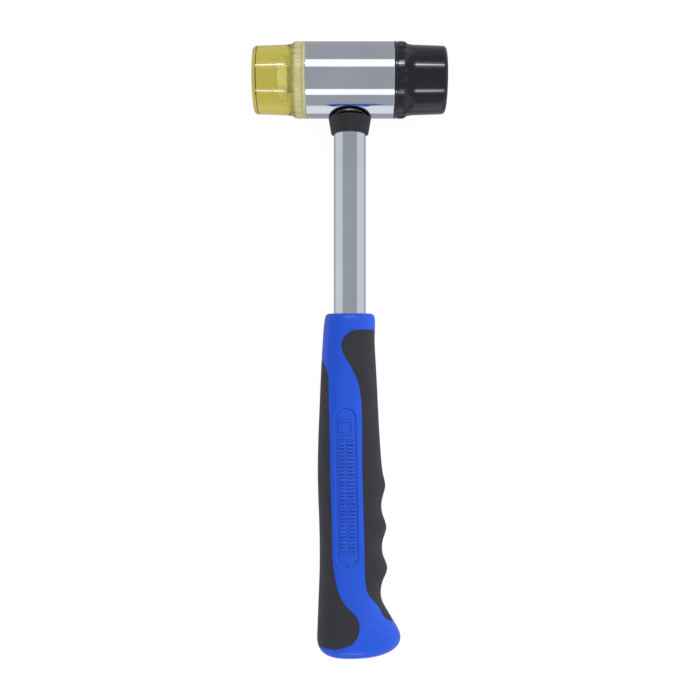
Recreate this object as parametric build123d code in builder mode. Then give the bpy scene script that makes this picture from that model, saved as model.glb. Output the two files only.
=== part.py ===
from build123d import *
import os
from math import copysign, cos, hypot, radians, sin

# Two-way soft-face dead blow mallet, lying on its side.
# X runs along the head (yellow face at -X, black face at +X), Y along the handle (head at +Y),
# and Z is up. The origin is under the middle of the handle, on the surface it lies on.
# All sizes are in millimetres.

# ---- driving dimensions -------------------------------------------------------------------
OVERALL_LENGTH = 285.7
LIP_RADIUS = 17.6  # the widest ring of the head, which rests on the bench
AXIS_Z = LIP_RADIUS
HEAD_Y = OVERALL_LENGTH / 2 - LIP_RADIUS
BUTT_Y = -OVERALL_LENGTH / 2

SLEEVE_RADIUS = 17.5  # 35 mm nominal head
SLEEVE_BORE_RADIUS = 14.5
SLEEVE_HALF_LENGTH = 20.5
SLEEVE_EDGE = 0.4

PLUG_THICKNESS = 11.0
PLUG_INNER_X = SLEEVE_HALF_LENGTH - PLUG_THICKNESS
TAPPED_HOLE_RADIUS = 4.03
TAPPED_HOLE_DEPTH = 9.5
WASHER_SEAT_RADIUS = 8.0
WASHER_SEAT_DEPTH = 2.0

SHOT_RADIUS = 2.5
SHOT_PITCH = 5.06
SHOT_LAYERS = 3
SHOT_FILL_Z = 4.5  # highest ball centre above the head's axis
SHOT_WALL_GAP = 0.1

FACE_END_X = 44.75
FACE_END_RADIUS = 15.45
FACE_BODY_RADIUS = 15.95
FACE_BODY_X = 30.5
FACE_EDGE = 1.7
FLANGE_RADIUS = 17.1
FLANGE_X = 24.9
LIP_WIDTH = 1.4
LIP_EDGE = 0.42
NECK_START = (1, -0.45)  # directions of the curve from the flange down to the body
NECK_END = (1, -0.03)
RIB_COUNT = 24
RIB_HEIGHT = 0.3
RIB_WIDTH = 1.3
RIB_LENGTH = 2.0
RIB_X = 23.0

BOLT_RADIUS = 3.98  # M8
BOLT_PITCH = 1.25
BOLT_THREAD_DEPTH = 0.72
BOLT_GROOVE_HALF_WIDTH = 0.575
BOLT_GROOVE_CLEARANCE = 0.1
BOLT_FIRST_GROOVE = 1.75  # from under the head
BOLT_LENGTH = 16.0
BOLT_HEAD_FLATS = 13.0
BOLT_HEAD_HEIGHT = 5.3
BOLT_CROWN_SLOPE = 0.58  # 30 degree chamfer on the corners of the head
BOLT_SEAT_X = 28.1

WASHER_RADIUS = 7.4
WASHER_BORE_RADIUS = 4.05
WASHER_GAP = 1.0
WASHER_GAP_SLANT = 20.0

TUBE_RADIUS = 7.5
TUBE_BORE_RADIUS = 6.0
TUBE_END_Y = -135.5
KEY_HOLE_RADIUS = 3.0
KEY_HOLE_YS = (-20.0, -90.0)
KEY_OVERLAP = 0.5  # how far the grip's keys run into the grip round the tube
WELD_LEG = 1.1
WELD_SLOPE_LEG = 0.88

BOOT_TOP_RADIUS = 10.05
BOOT_BOTTOM_RADIUS = 8.7
BOOT_TOP_Y = HEAD_Y - SLEEVE_RADIUS
BOOT_LENGTH = 7.9
BOOT_EDGE = 0.4
BOOT_RELIEF = 1.6

END_PLUG_FLANGE = 1.5
END_PLUG_LENGTH = 9.0

GRIP_SQUARENESS = 0.82  # 1 would make each cross-section an ellipse
SECTION_POINTS = 16
PAD_THICKNESS = 2.6
LABEL_DEPTH = 0.45
LABEL_WIDTH = 9.6
LABEL_TOP = (-1.9, -32.5)
LABEL_BOTTOM = (-0.8, -95.5)
CUT_REACH = 60.0  # longer than any cut has to reach
REAR_PAD_RISE = 10.0  # how much the rear pad's outline climbs on its way out past the grip

# Stations along the grip: place along Y, reach towards -X, reach towards +X, half thickness.
# The reach towards +X rises and falls with the three finger ridges and swells into the butt.
GRIP_STATIONS = (
    (15.7, 10.3, 10.4, 10.3),
    (15.0, 11.2, 11.3, 11.2),
    (12.9, 11.8, 11.8, 11.8),
    (5.8, 12.5, 11.7, 12.0),
    (-5.9, 13.2, 12.1, 12.2),
    (-19.9, 13.85, 12.85, 12.4),
    (-33.9, 14.4, 13.55, 12.5),
    (-48.1, 14.9, 14.4, 12.5),
    (-55.1, 15.0, 15.0, 12.5),
    (-59.8, 15.0, 15.7, 12.5),
    (-64.5, 14.9, 16.6, 12.5),
    (-69.2, 14.8, 15.55, 12.4),
    (-73.9, 14.6, 14.8, 12.3),
    (-78.8, 14.4, 15.6, 12.3),
    (-84.1, 14.25, 17.1, 12.4),
    (-88.2, 14.15, 16.0, 12.4),
    (-92.8, 14.1, 15.1, 12.4),
    (-97.8, 14.1, 15.8, 12.4),
    (-103.3, 14.15, 17.5, 12.5),
    (-107.5, 14.25, 16.0, 12.5),
    (-112.7, 14.45, 14.6, 12.6),
    (-118.7, 14.7, 15.2, 12.9),
    (-123.7, 14.9, 17.8, 13.3),
    (-128.2, 15.05, 20.5, 13.8),
    (-132.3, 15.2, 22.9, 14.2),
    (-135.5, 15.3, 23.7, 14.4),
    (-138.3, 14.9, 22.6, 14.3),
    (-140.7, 13.5, 19.5, 13.5),
    (-142.2, 11.0, 14.4, 11.8),
    (BUTT_Y, 7.4, 9.6, 8.8),
)

# Edge of each soft pad on the broad faces of the grip, as (x, y), from top to bottom.
FRONT_PAD_EDGE = (
    (3.3, 8.2),
    (-0.2, 7.0),
    (-2.9, 4.6),
    (-4.0, 1.2),
    (-3.1, -2.5),
    (-0.7, -6.7),
    (1.9, -11.4),
    (4.0, -16.6),
    (5.2, -23.9),
    (5.7, -43.9),
    (6.0, -65.9),
    (6.8, -96.0),
    (7.3, -107.9),
    (8.9, -113.7),
    (12.7, -118.3),
    (15.7, -123.7),
    (20.0, -127.5),
)
REAR_PAD_EDGE = (
    (-14.0, -4.4),
    (-11.4, -8.9),
    (-10.2, -12.9),
    (-9.8, -20.9),
    (-9.3, -40.9),
    (-9.0, -60.9),
    (-8.2, -83.9),
    (-7.4, -102.4),
    (-6.1, -108.9),
    (-3.9, -114.8),
    (0.0, -119.7),
    (3.5, -123.5),
    (4.4, -127.3),
    (3.6, -131.5),
    (1.0, -134.8),
    (-2.8, -136.5),
    (-6.1, -137.2),
    (-10.7, -137.4),
    (-16.5, -138.1),
)

HEAD_AXIS = Axis((0, HEAD_Y, AXIS_Z), (1, 0, 0))
MID_PLANE = Plane.XY.offset(AXIS_Z)


def head_plane(side, x):
    """Plane square to the head's axis at this distance from the handle, facing outwards."""
    return Plane(origin=(side * x, HEAD_Y, AXIS_Z), x_dir=(0, 1, 0), z_dir=(side, 0, 0))


def head_section(side):
    """Plane through the head's axis: local x runs outwards, and local y is the radius."""
    return Plane(origin=(0, HEAD_Y, AXIS_Z), x_dir=(side, 0, 0), z_dir=(0, 0, side))


def handle_plane(y):
    """Plane square to the handle at this y, facing the butt: local x is X, and local y is Z."""
    return Plane(origin=(0, y, AXIS_Z), x_dir=(1, 0, 0), z_dir=(0, -1, 0))


def save(piece, name):
    """Label a finished piece and write it as its own STEP file."""
    piece.part.label = name
    export_step(piece.part, f"parts/{name}.step")


# ---- head ---------------------------------------------------------------------------------
def make_sleeve():
    """Tube of the head, with a small chamfer on its outer edges."""
    with BuildPart() as sleeve:
        with BuildSketch(head_plane(1, -SLEEVE_HALF_LENGTH)):
            Circle(SLEEVE_RADIUS)
            Circle(SLEEVE_BORE_RADIUS, mode=Mode.SUBTRACT)
        extrude(amount=2 * SLEEVE_HALF_LENGTH)
        rims = sleeve.edges().filter_by(GeomType.CIRCLE).group_by(lambda e: e.radius)[-1]
        chamfer(rims, SLEEVE_EDGE)
    return sleeve


def make_end_plug(side):
    """Steel plug that closes the shot chamber and holds the tapped hole of one face."""
    with BuildPart() as plug:
        with BuildSketch(head_plane(side, PLUG_INNER_X)):
            Circle(SLEEVE_BORE_RADIUS)
        extrude(amount=PLUG_THICKNESS)
        with Locations(head_plane(side, SLEEVE_HALF_LENGTH)):
            CounterBoreHole(
                radius=TAPPED_HOLE_RADIUS,
                counter_bore_radius=WASHER_SEAT_RADIUS,
                counter_bore_depth=WASHER_SEAT_DEPTH,
                depth=TAPPED_HOLE_DEPTH,
            )
    return plug


def make_shot():
    """Steel balls packed in rows that lie in the lower part of the chamber."""
    reach = SLEEVE_BORE_RADIUS - SHOT_RADIUS - SHOT_WALL_GAP
    row_step = SHOT_PITCH * sin(radians(60))
    rows = int(reach // row_step)
    centres = []
    for row in range(-rows, rows + 1):
        z = row * row_step
        if z > SHOT_FILL_Z:
            continue
        shift = SHOT_PITCH / 2 if row % 2 else 0
        columns = int(reach // SHOT_PITCH) + 1
        for column in range(-columns, columns + 1):
            y = column * SHOT_PITCH + shift
            if y * y + z * z <= reach * reach:
                centres.append((y, z))
    layer_xs = [(i - (SHOT_LAYERS - 1) / 2) * SHOT_PITCH for i in range(SHOT_LAYERS)]
    places = [(x, HEAD_Y + y, AXIS_Z + z) for x in layer_xs for y, z in centres]
    with BuildPart() as shot:
        with Locations(*places):
            Sphere(SHOT_RADIUS)
    return shot


def make_bolt(side):
    """Hexagon bolt that is moulded into a face, with ridges at the real thread pitch."""
    with BuildPart() as bolt:
        with BuildSketch(head_plane(side, BOLT_SEAT_X)):
            RegularPolygon(BOLT_HEAD_FLATS / 2, 6, major_radius=False)
        extrude(amount=BOLT_HEAD_HEIGHT)
        crown_x = BOLT_SEAT_X + BOLT_HEAD_HEIGHT
        with BuildSketch(head_section(side)):
            with BuildLine():
                Polyline(
                    (BOLT_SEAT_X, 0),
                    (BOLT_SEAT_X, BOLT_HEAD_FLATS),
                    (crown_x - BOLT_HEAD_FLATS / 2 * BOLT_CROWN_SLOPE, BOLT_HEAD_FLATS),
                    (crown_x, BOLT_HEAD_FLATS / 2),
                    (crown_x, 0),
                    close=True,
                )
            make_face()
        revolve(axis=HEAD_AXIS, mode=Mode.INTERSECT)
        with BuildSketch(head_plane(side, BOLT_SEAT_X)):
            Circle(BOLT_RADIUS)
        extrude(amount=-BOLT_LENGTH)
        point = bolt.faces().sort_by(Axis.X)[0 if side > 0 else -1]
        chamfer(point.edges(), BOLT_THREAD_DEPTH)
        with BuildSketch(head_section(side)):
            turns = int(BOLT_LENGTH / BOLT_PITCH) - 1
            for turn in range(turns):
                root_x = BOLT_SEAT_X - BOLT_FIRST_GROOVE - turn * BOLT_PITCH
                with BuildLine():
                    Polyline(
                        (root_x, BOLT_RADIUS - BOLT_THREAD_DEPTH),
                        (root_x + BOLT_GROOVE_HALF_WIDTH, BOLT_RADIUS + BOLT_GROOVE_CLEARANCE),
                        (root_x - BOLT_GROOVE_HALF_WIDTH, BOLT_RADIUS + BOLT_GROOVE_CLEARANCE),
                        close=True,
                    )
                make_face()
        revolve(axis=HEAD_AXIS, mode=Mode.SUBTRACT)
    return bolt


def make_face_tip(side, bolt):
    """Screw-in striking face: plain body, flange with grip ribs and a rear lip."""
    with BuildPart() as tip:
        with BuildSketch(head_section(side)) as profile:
            with BuildLine():
                foot = Polyline(
                    (FACE_BODY_X, 0),
                    (SLEEVE_HALF_LENGTH, 0),
                    (SLEEVE_HALF_LENGTH, LIP_RADIUS),
                    (SLEEVE_HALF_LENGTH + LIP_WIDTH, LIP_RADIUS),
                    (SLEEVE_HALF_LENGTH + LIP_WIDTH, FLANGE_RADIUS),
                    (FLANGE_X, FLANGE_RADIUS),
                )
                neck = Spline(
                    foot @ 1,
                    (FACE_BODY_X, FACE_BODY_RADIUS),
                    tangents=(NECK_START, NECK_END),
                )
                Polyline(
                    neck @ 1,
                    (FACE_END_X, FACE_END_RADIUS),
                    (FACE_END_X, 0),
                    foot @ 0,
                )
            make_face()
            striking = profile.vertices().group_by(Axis.X)[-1].sort_by(Axis.Y)[-1]
            fillet(striking, FACE_EDGE)
            fillet(profile.vertices().group_by(Axis.Y)[-1], LIP_EDGE)
        revolve(axis=HEAD_AXIS)
        with Locations(head_plane(side, RIB_X)):
            with PolarLocations(FLANGE_RADIUS, RIB_COUNT):
                Box(2 * RIB_HEIGHT, RIB_WIDTH, RIB_LENGTH)
        add(bolt.part, mode=Mode.SUBTRACT)
    return tip


def make_lock_washer(side):
    """Split spring washer, pressed flat between the end plug and the face."""
    with BuildPart() as washer:
        with BuildSketch(head_plane(side, SLEEVE_HALF_LENGTH - WASHER_SEAT_DEPTH)):
            Circle(WASHER_RADIUS)
            Circle(WASHER_BORE_RADIUS, mode=Mode.SUBTRACT)
        extrude(amount=WASHER_SEAT_DEPTH)
        middle = head_plane(side, SLEEVE_HALF_LENGTH - WASHER_SEAT_DEPTH / 2)
        with Locations(middle):
            with Locations(Location((WASHER_RADIUS, 0, 0), (WASHER_GAP_SLANT, 0, 0))):
                Box(WASHER_RADIUS, WASHER_GAP, 3 * WASHER_SEAT_DEPTH, mode=Mode.SUBTRACT)
    return washer


# ---- shaft --------------------------------------------------------------------------------
def make_tube():
    """Handle tube, coped to the head sleeve, with two cross holes that key the grip."""
    with BuildPart() as tube:
        with BuildSketch(handle_plane(HEAD_Y)):
            Circle(TUBE_RADIUS)
            Circle(TUBE_BORE_RADIUS, mode=Mode.SUBTRACT)
        extrude(amount=HEAD_Y - TUBE_END_Y)
        with BuildSketch(head_plane(1, -CUT_REACH / 2)):
            Circle(SLEEVE_RADIUS)
        extrude(amount=CUT_REACH, mode=Mode.SUBTRACT)
        with BuildSketch(MID_PLANE):
            with Locations(*[(0, y) for y in KEY_HOLE_YS]):
                Circle(KEY_HOLE_RADIUS)
        extrude(amount=CUT_REACH, both=True, mode=Mode.SUBTRACT)
    return tube


def make_weld():
    """Fillet weld that follows the saddle line between the tube and the sleeve."""
    with BuildPart() as weld:
        with BuildSketch(head_plane(1, -CUT_REACH / 2)):
            Circle(SLEEVE_RADIUS + WELD_LEG)
            Circle(SLEEVE_RADIUS, mode=Mode.SUBTRACT)
        extrude(amount=CUT_REACH)
        with BuildSketch(handle_plane(HEAD_Y)):
            Circle(TUBE_RADIUS + WELD_LEG)
            Circle(TUBE_RADIUS, mode=Mode.SUBTRACT)
        extrude(amount=CUT_REACH, mode=Mode.INTERSECT)
        crest = weld.edges().group_by(lambda e: round(distance_to_handle(e), 1))[-1]
        outer_line = crest.group_by(lambda e: round(distance_to_head(e), 1))[-1]
        chamfer(outer_line, WELD_SLOPE_LEG)
    return weld


def distance_to_handle(edge):
    """Distance from the middle of an edge to the handle's axis."""
    middle = edge @ 0.5
    return (middle.X**2 + (middle.Z - AXIS_Z) ** 2) ** 0.5


def distance_to_head(edge):
    """Distance from the middle of an edge to the head's axis."""
    middle = edge @ 0.5
    return ((middle.Y - HEAD_Y) ** 2 + (middle.Z - AXIS_Z) ** 2) ** 0.5


def make_boot():
    """Tapered rubber ring that hides the weld, relieved inside its upper end."""
    with BuildPart() as boot:
        with BuildSketch(handle_plane(BOOT_TOP_Y)):
            Circle(BOOT_TOP_RADIUS)
        with BuildSketch(handle_plane(BOOT_TOP_Y - BOOT_LENGTH)):
            Circle(BOOT_BOTTOM_RADIUS)
        loft()
        fillet(boot.edges().filter_by(GeomType.CIRCLE), BOOT_EDGE)
        with BuildSketch(handle_plane(BOOT_TOP_Y)):
            Circle(TUBE_RADIUS)
        extrude(amount=BOOT_LENGTH, mode=Mode.SUBTRACT)
        mouth = boot.edges().filter_by(GeomType.CIRCLE).group_by(Axis.Y)[-1]
        bore_rim = mouth.sort_by(lambda e: e.radius)[0]
        chamfer(bore_rim, BOOT_RELIEF)
    return boot


def make_tube_end_plug():
    """Cap that keeps the grip's plastic out of the open end of the tube."""
    with BuildPart() as plug:
        with BuildSketch(handle_plane(TUBE_END_Y)):
            Circle(TUBE_RADIUS)
        extrude(amount=END_PLUG_FLANGE)
        with BuildSketch(handle_plane(TUBE_END_Y)):
            Circle(TUBE_BORE_RADIUS)
        extrude(amount=-END_PLUG_LENGTH)
        fillet(plug.edges().filter_by(GeomType.CIRCLE).group_by(Axis.Y)[-1], BOOT_EDGE)
    return plug


# ---- grip ---------------------------------------------------------------------------------
def section_point(rear, front, half, angle):
    """Point at this angle on a squared-off oval with different reaches to -X and +X."""
    across = copysign(abs(cos(angle)) ** GRIP_SQUARENESS, cos(angle))
    height = copysign(abs(sin(angle)) ** GRIP_SQUARENESS, sin(angle))
    return ((front if across > 0 else rear) * across, half * height)


def loft_grip(inset):
    """Body through the grip stations, with every reach made smaller by the inset."""
    angles = [radians(360 / SECTION_POINTS * n) for n in range(SECTION_POINTS)]
    with BuildPart() as body:
        for y, rear, front, half in GRIP_STATIONS:
            reaches = (rear - inset, front - inset, half - inset)
            with BuildSketch(handle_plane(y)):
                with BuildLine():
                    Spline(*[section_point(*reaches, angle) for angle in angles], periodic=True)
                make_face()
        loft()
    return body


def make_pad_zone(outline, bed):
    """Space that a pad takes, past the bed it lies on, in the outline drawn on the broad face."""
    with BuildPart() as zone:
        with BuildSketch(MID_PLANE.offset(-CUT_REACH)):
            add(outline.sketch)
        extrude(amount=2 * CUT_REACH)
        add(bed.part, mode=Mode.SUBTRACT)
    return zone


def make_pad(outer, zone):
    """Soft pad: the part of the grip that lies in its zone."""
    with BuildPart() as pad:
        add(outer.part)
        add(zone.part, mode=Mode.INTERSECT)
    return pad


def front_pad_outline():
    """Outline of the finger-grooved pad, open to the +X side."""
    with BuildSketch() as outline:
        with BuildLine():
            edge = Spline(*FRONT_PAD_EDGE)
            Polyline(
                edge @ 1,
                (CUT_REACH, FRONT_PAD_EDGE[-1][1]),
                (CUT_REACH, FRONT_PAD_EDGE[0][1]),
                edge @ 0,
            )
        make_face()
    return outline


def rear_pad_outline():
    """Outline of the plain pad, open to the -X side."""
    with BuildSketch() as outline:
        with BuildLine():
            edge = Spline(*REAR_PAD_EDGE)
            Polyline(
                edge @ 1,
                (-CUT_REACH, REAR_PAD_EDGE[-1][1]),
                (-CUT_REACH, REAR_PAD_EDGE[0][1] + REAR_PAD_RISE),
                edge @ 0,
            )
        make_face()
    return outline


def make_label_recess(floor):
    """Panel sunk evenly into both broad faces, with round ends."""
    run_x = LABEL_BOTTOM[0] - LABEL_TOP[0]
    run_y = LABEL_BOTTOM[1] - LABEL_TOP[1]
    middle = (LABEL_TOP[0] + run_x / 2, LABEL_TOP[1] + run_y / 2, AXIS_Z)
    with BuildPart() as recess:
        with BuildSketch(Plane(origin=middle, x_dir=(run_x, run_y, 0), z_dir=(0, 0, 1))):
            SlotCenterToCenter(hypot(run_x, run_y), LABEL_WIDTH)
        extrude(amount=CUT_REACH, both=True)
        add(floor.part, mode=Mode.SUBTRACT)
    return recess


def make_grip_core(outer, zones):
    """Hard core of the grip, moulded round the tube and keyed through its cross holes."""
    top_y = GRIP_STATIONS[0][0]
    with BuildPart() as core:
        add(outer.part)
        for zone in zones:
            add(zone.part, mode=Mode.SUBTRACT)
        with BuildSketch(handle_plane(top_y)):
            Circle(TUBE_RADIUS)
        extrude(amount=top_y - TUBE_END_Y + END_PLUG_FLANGE, mode=Mode.SUBTRACT)
        with BuildSketch(MID_PLANE):
            with Locations(*[(0, y) for y in KEY_HOLE_YS]):
                Circle(KEY_HOLE_RADIUS)
        extrude(amount=TUBE_RADIUS + KEY_OVERLAP, both=True)
    return core


os.makedirs("parts", exist_ok=True)

save(make_sleeve(), "head_sleeve")
for side, place, colour in ((-1, "left", "yellow"), (1, "right", "black")):
    face_bolt = make_bolt(side)
    save(face_bolt, f"{place}_face_bolt")
    save(make_face_tip(side, face_bolt), f"{colour}_face")
    save(make_end_plug(side), f"{place}_end_plug")
    save(make_lock_washer(side), f"{place}_lock_washer")
save(make_shot(), "shot_charge")

save(make_tube(), "shaft_tube")
save(make_weld(), "shaft_weld")
save(make_boot(), "neck_boot")
save(make_tube_end_plug(), "tube_end_plug")

grip_skin = loft_grip(0)
pad_bed = loft_grip(PAD_THICKNESS)
front_zone = make_pad_zone(front_pad_outline(), pad_bed)
rear_zone = make_pad_zone(rear_pad_outline(), pad_bed)
label_recess = make_label_recess(loft_grip(LABEL_DEPTH))
save(make_pad(grip_skin, front_zone), "grip_front_pad")
save(make_pad(grip_skin, rear_zone), "grip_rear_pad")
save(make_grip_core(grip_skin, (front_zone, rear_zone, label_recess)), "grip_core")
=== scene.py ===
import math

import bmesh
import bpy
import numpy as np
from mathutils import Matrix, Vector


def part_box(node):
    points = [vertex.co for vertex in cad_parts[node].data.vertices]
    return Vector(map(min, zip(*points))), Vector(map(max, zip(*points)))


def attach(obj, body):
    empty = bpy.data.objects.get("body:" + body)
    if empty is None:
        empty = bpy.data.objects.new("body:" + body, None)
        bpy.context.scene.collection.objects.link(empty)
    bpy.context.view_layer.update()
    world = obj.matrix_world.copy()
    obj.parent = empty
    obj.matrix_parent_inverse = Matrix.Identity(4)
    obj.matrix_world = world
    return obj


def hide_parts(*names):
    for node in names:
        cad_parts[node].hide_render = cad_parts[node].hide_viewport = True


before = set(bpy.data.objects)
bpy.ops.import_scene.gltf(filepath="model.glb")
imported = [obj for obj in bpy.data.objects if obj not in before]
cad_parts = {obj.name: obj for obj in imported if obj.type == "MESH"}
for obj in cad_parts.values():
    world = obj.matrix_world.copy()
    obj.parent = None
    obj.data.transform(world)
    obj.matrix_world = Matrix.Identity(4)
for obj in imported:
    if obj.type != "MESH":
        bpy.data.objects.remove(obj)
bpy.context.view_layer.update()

# Two-way soft-face mallet lying on its side. Lengths are in millimetres up to to_mesh(), which
# writes metres. X runs along the head, Y along the handle towards the head, and Z is up.
MM = 0.001


# ---- sizes taken from the frame ------------------------------------------------------------
def node_box(name):
    """Lowest and highest corner of a CAD node in millimetres."""
    low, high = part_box(name)
    return np.array(low) / MM, np.array(high) / MM


sleeve_low, sleeve_high = node_box("head_sleeve")
HEAD_Y, AXIS_Z = (sleeve_low[1:] + sleeve_high[1:]) / 2
SLEEVE_RADIUS = (sleeve_high[2] - sleeve_low[2]) / 2
SLEEVE_END = sleeve_high[0]
SLEEVE_WALL = 3.0
SLEEVE_EDGE = 0.4

face_low, face_high = node_box("black_face")
FACE_END = face_high[0]
LIP_RADIUS = (face_high[2] - face_low[2]) / 2
FLANGE_RADIUS = LIP_RADIUS - 0.5
FACE_BODY_RADIUS = LIP_RADIUS - 1.65
FACE_END_RADIUS = LIP_RADIUS - 2.15
FACE_EDGE = 1.7
LIP_END = SLEEVE_END + 1.4
LIP_EDGE = 0.42
FLANGE_END = SLEEVE_END + 4.4
BODY_START = SLEEVE_END + 10.0
RIB_COUNT = 24
RIB_HEIGHT = 0.42
RIB_SHARE = 0.27
RIB_START = SLEEVE_END + 1.55
RIB_END = SLEEVE_END + 5.9

bolt_low, bolt_high = node_box("right_face_bolt")
BOLT_TIP = bolt_low[0]
BOLT_CROWN = bolt_high[0]
BOLT_SEAT = BOLT_CROWN - 5.3
BOLT_FLATS = bolt_high[2] - bolt_low[2]
BOLT_RADIUS = 3.98
THREAD_PITCH = 1.25
THREAD_DEPTH = 0.72

tube_low, tube_high = node_box("shaft_tube")
TUBE_RADIUS = tube_high[0]
TUBE_BORE = TUBE_RADIUS - 1.5
TUBE_END_Y = tube_low[1]
KEY_RADIUS = 3.0
KEY_YS = (-20.0, -90.0)

boot_low, boot_high = node_box("neck_boot")
BOOT_TOP_RADIUS = 10.05
BOOT_BOTTOM_RADIUS = 8.7
BOOT_EDGE = 0.4
BOOT_RELIEF = 1.6
POCKET_END_Y = node_box("tube_end_plug")[0][1]

# ---- grip, as the CAD model draws it -------------------------------------------------------
GRIP_SQUARENESS = 0.82
PAD_THICKNESS = 2.6
LABEL_TOP = np.array((-1.9, -32.5))
LABEL_BOTTOM = np.array((-0.8, -95.5))
LABEL_HALF_WIDTH = 5.15
LABEL_DEPTH = 0.45

# Stations along the grip: place along Y, reach towards -X, reach towards +X, half thickness.
GRIP_STATIONS = (
    (15.7, 10.3, 10.4, 10.3),
    (15.0, 11.2, 11.3, 11.2),
    (12.9, 11.8, 11.8, 11.8),
    (5.8, 12.5, 11.7, 12.0),
    (-5.9, 13.2, 12.1, 12.2),
    (-19.9, 13.85, 12.85, 12.4),
    (-33.9, 14.4, 13.55, 12.5),
    (-48.1, 14.9, 14.4, 12.5),
    (-55.1, 15.0, 15.0, 12.5),
    (-59.8, 15.0, 15.7, 12.5),
    (-64.5, 14.9, 16.6, 12.5),
    (-69.2, 14.8, 15.55, 12.4),
    (-73.9, 14.6, 14.8, 12.3),
    (-78.8, 14.4, 15.6, 12.3),
    (-84.1, 14.25, 17.1, 12.4),
    (-88.2, 14.15, 16.0, 12.4),
    (-92.8, 14.1, 15.1, 12.4),
    (-97.8, 14.1, 15.8, 12.4),
    (-103.3, 14.15, 17.5, 12.5),
    (-107.5, 14.25, 16.0, 12.5),
    (-112.7, 14.45, 14.6, 12.6),
    (-118.7, 14.7, 15.2, 12.9),
    (-123.7, 14.9, 17.8, 13.3),
    (-128.2, 15.05, 20.5, 13.8),
    (-132.3, 15.2, 22.9, 14.2),
    (-135.5, 15.3, 23.7, 14.4),
    (-138.3, 14.9, 22.6, 14.3),
    (-140.7, 13.5, 19.5, 13.5),
    (-142.2, 11.0, 14.4, 11.8),
    (-142.85, 7.4, 9.6, 8.8),
)

# Edge of each soft pad on the broad faces of the grip, as (x, y), from top to bottom.
FRONT_PAD_EDGE = (
    (3.3, 8.2),
    (-0.2, 7.0),
    (-2.9, 4.6),
    (-4.0, 1.2),
    (-3.1, -2.5),
    (-0.7, -6.7),
    (1.9, -11.4),
    (4.0, -16.6),
    (5.2, -23.9),
    (5.7, -43.9),
    (6.0, -65.9),
    (6.8, -96.0),
    (7.3, -107.9),
    (8.9, -113.7),
    (12.7, -118.3),
    (15.7, -123.7),
    (20.0, -127.5),
)
REAR_PAD_EDGE = (
    (-14.0, -4.4),
    (-11.4, -8.9),
    (-10.2, -12.9),
    (-9.8, -20.9),
    (-9.3, -40.9),
    (-9.0, -60.9),
    (-8.2, -83.9),
    (-7.4, -102.4),
    (-6.1, -108.9),
    (-3.9, -114.8),
    (0.0, -119.7),
    (3.5, -123.5),
    (4.4, -127.3),
    (3.6, -131.5),
    (1.0, -134.8),
    (-2.8, -136.5),
    (-6.1, -137.2),
    (-10.7, -137.4),
    (-16.5, -138.1),
)

GRIP_ROW_STEP = 0.45
LABEL_ROW_STEP = 0.24
PAD_EDGE_RADIUS = 0.3
PAD_EDGE_STEPS = (0.06, 0.14, 0.24, 0.36)
NARROWEST = 0.25
FRONT_COLUMNS = 26
BAND_COLUMNS = 52
REAR_COLUMNS = 24

BAR_PITCH = 1.68
BAR_SHARE = 0.5
BAR_HEIGHT = 0.36
BAR_COLUMNS = ((-3.5, -0.6), (0.5, 3.7))
BARS_START = 9.6
BADGE_START = 0.6
BADGE_END = 7.4
BADGE_HALF_WIDTH = 3.3
BADGE_LINE = 0.7


# ---- mesh helpers --------------------------------------------------------------------------
def to_mesh(name, points, faces, sharp=40.0):
    """Object from points in millimetres: doubles merged, normals outwards, smooth but for sharp edges."""
    mesh = bpy.data.meshes.new(name)
    mesh.from_pydata((np.asarray(points, float) * MM).tolist(), [], faces)
    work = bmesh.new()
    work.from_mesh(mesh)
    bmesh.ops.remove_doubles(work, verts=work.verts, dist=1e-7)
    bmesh.ops.dissolve_degenerate(work, edges=work.edges, dist=1e-8)
    bmesh.ops.recalc_face_normals(work, faces=work.faces)
    work.to_mesh(mesh)
    work.free()
    mesh.shade_smooth()
    mesh.set_sharp_from_angle(angle=math.radians(sharp))
    piece = bpy.data.objects.new(name, mesh)
    bpy.context.scene.collection.objects.link(piece)
    return piece


def grid_faces(rows, columns, closed_rows=False):
    """Quads of a grid of rows x columns points whose columns run right round."""
    faces = []
    for row in range(rows if closed_rows else rows - 1):
        below = row * columns
        above = (row + 1) % rows * columns
        for column in range(columns):
            after = (column + 1) % columns
            faces.append((below + column, below + after, above + after, above + column))
    return faces


def rounded(corners):
    """Profile through corners (along, radius, rounding), with each corner turned into an arc."""
    points = []
    for n, (along, radius, rounding) in enumerate(corners):
        here = np.array((along, radius))
        if rounding == 0:
            points.append(here)
            continue
        before = np.array(corners[n - 1][:2]) - here
        after = np.array(corners[(n + 1) % len(corners)][:2]) - here
        before = before / np.linalg.norm(before)
        after = after / np.linalg.norm(after)
        half = math.acos(float(before @ after)) / 2
        to_centre = (before + after) / np.linalg.norm(before + after)
        centre = here + to_centre * rounding / math.sin(half)
        start = here + before * rounding / math.tan(half) - centre
        end = here + after * rounding / math.tan(half) - centre
        turn = math.acos(float(np.clip(start @ end / rounding**2, -1, 1)))
        steps = 7
        for step in range(steps + 1):
            share = step / steps
            near = math.sin((1 - share) * turn) / math.sin(turn)
            far = math.sin(share * turn) / math.sin(turn)
            points.append(centre + start * near + end * far)
    return np.array(points)


def held(profile, step=0.15, longest=1.5):
    """Profile with extra points near both ends of each long side, which keep its shading straight."""
    points = []
    for here, after in zip(profile, np.roll(profile, -1, axis=0)):
        points.append(here)
        length = np.linalg.norm(after - here)
        if length > longest:
            points += [here + (after - here) * place / length for place in (step, length - step)]
    return np.array(points)


def on_head(side, along, radius, turn):
    """Points at this distance along the head's axis, from the handle towards one side."""
    y = HEAD_Y + radius * np.cos(turn)
    z = AXIS_Z + radius * np.sin(turn)
    x = side * along + 0 * turn
    return np.stack((x, y, z), -1).reshape(-1, 3)


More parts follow.
